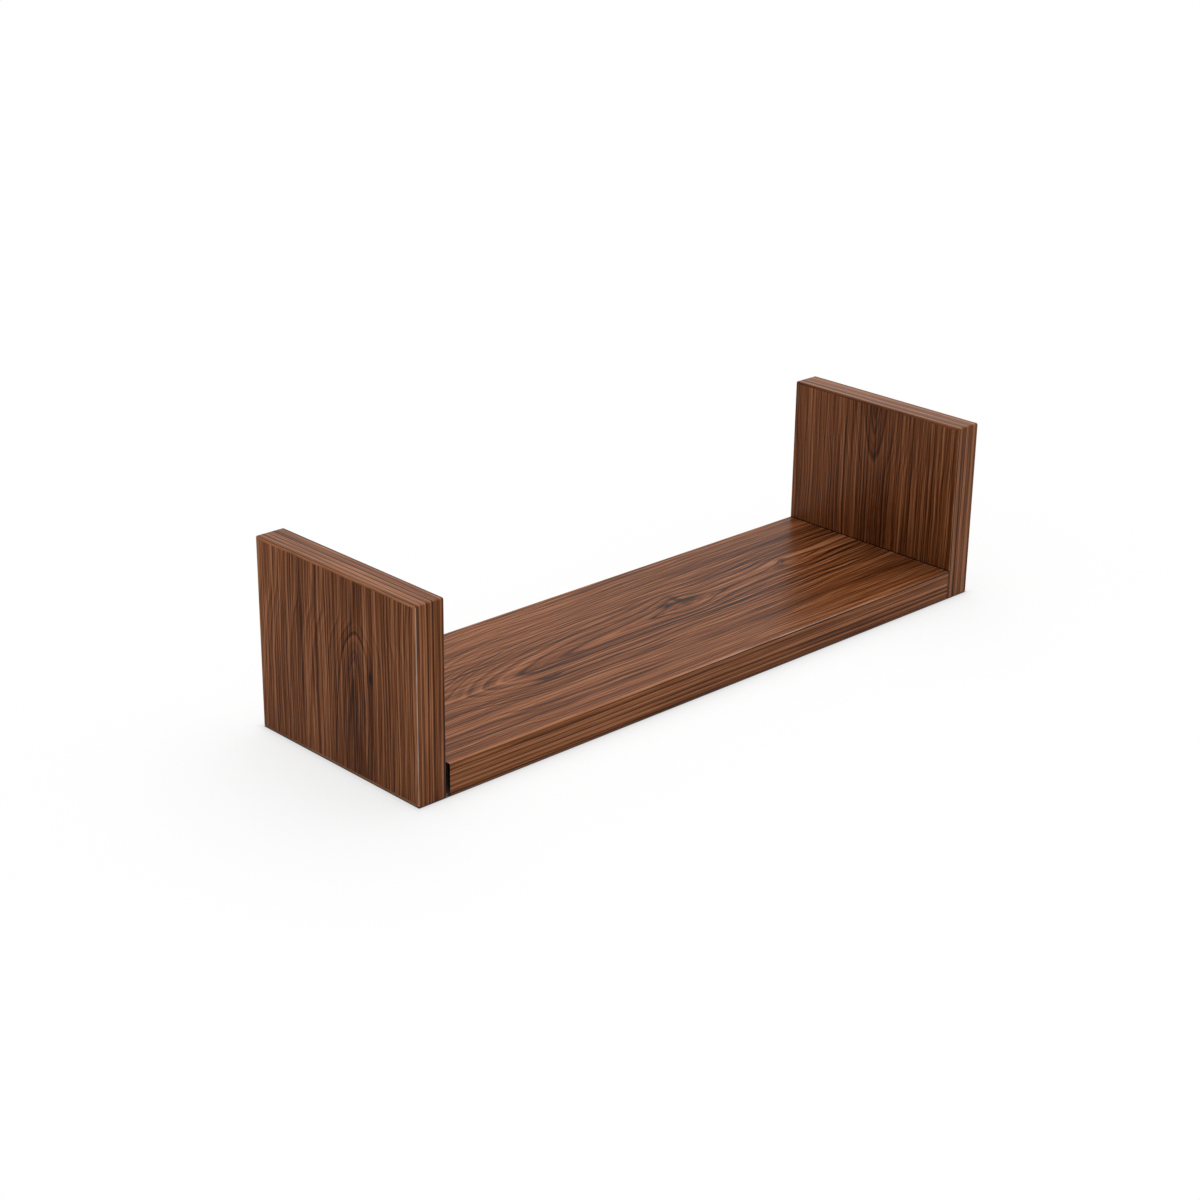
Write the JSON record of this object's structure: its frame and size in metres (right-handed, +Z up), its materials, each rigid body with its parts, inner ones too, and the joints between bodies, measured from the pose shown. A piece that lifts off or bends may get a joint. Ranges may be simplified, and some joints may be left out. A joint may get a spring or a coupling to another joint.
{
  "type": "floating wall shelf",
  "caption": "U-shaped floating wall shelf of veneered walnut boards: a shelf between upright end panels, hung on keyhole plates in the panels' back edges.",
  "frame": {"origin": "middle of the footprint, on the plane of the underside", "axes": "+X along the shelf to the right, +Y back to the wall, +Z up"},
  "size_m": [0.6, 0.18, 0.15],
  "materials": {
    "walnut_face": "satin",
    "walnut_edge": "satin",
    "board_core": "matte",
    "beech": "matte",
    "cam_zinc": "satin",
    "bolt_steel": "satin",
    "hanger_steel": "satin",
    "screw_steel": "satin"
  },
  "bodies": {
    "shelf": {"left_panel_core": "board_core", "left_outer_veneer": "walnut_face", "left_inner_veneer": "walnut_face", "left_front_band": "walnut_edge", "left_back_band": "walnut_edge", "left_top_band": "walnut_edge", "left_bottom_band": "walnut_edge", "left_dowels": "beech", "left_cam_bolts": "bolt_steel", "left_hanger_plate": "hanger_steel", "left_hanger_screws": "screw_steel", "right_panel_core": "board_core", "right_outer_veneer": "walnut_face", "right_inner_veneer": "walnut_face", "right_front_band": "walnut_edge", "right_back_band": "walnut_edge", "right_top_band": "walnut_edge", "right_bottom_band": "walnut_edge", "right_dowels": "beech", "right_cam_bolts": "bolt_steel", "right_hanger_plate": "hanger_steel", "right_hanger_screws": "screw_steel", "shelf_core": "board_core", "shelf_top_veneer": "walnut_face", "shelf_bottom_veneer": "walnut_face", "shelf_front_band": "walnut_edge", "shelf_back_band": "walnut_edge"},
    "left_front_cam": {"left_front_cam": "cam_zinc"},
    "left_back_cam": {"left_back_cam": "cam_zinc"},
    "right_front_cam": {"right_front_cam": "cam_zinc"},
    "right_back_cam": {"right_back_cam": "cam_zinc"}
  },
  "joints": [
    {"name": "left_front_cam_turn", "type": "hinge", "parent": "shelf", "child": "left_front_cam", "pos_m": [-0.241, -0.053, 0.0125], "axis": [0, 0, -1], "range_deg": [0, 180]},
    {"name": "left_back_cam_turn", "type": "hinge", "parent": "shelf", "child": "left_back_cam", "pos_m": [-0.241, 0.053, 0.0125], "axis": [0, 0, -1], "range_deg": [0, 180]},
    {"name": "right_front_cam_turn", "type": "hinge", "parent": "shelf", "child": "right_front_cam", "pos_m": [0.241, -0.053, 0.0125], "axis": [0, 0, -1], "range_deg": [0, 180]},
    {"name": "right_back_cam_turn", "type": "hinge", "parent": "shelf", "child": "right_back_cam", "pos_m": [0.241, 0.053, 0.0125], "axis": [0, 0, -1], "range_deg": [0, 180]}
  ]
}
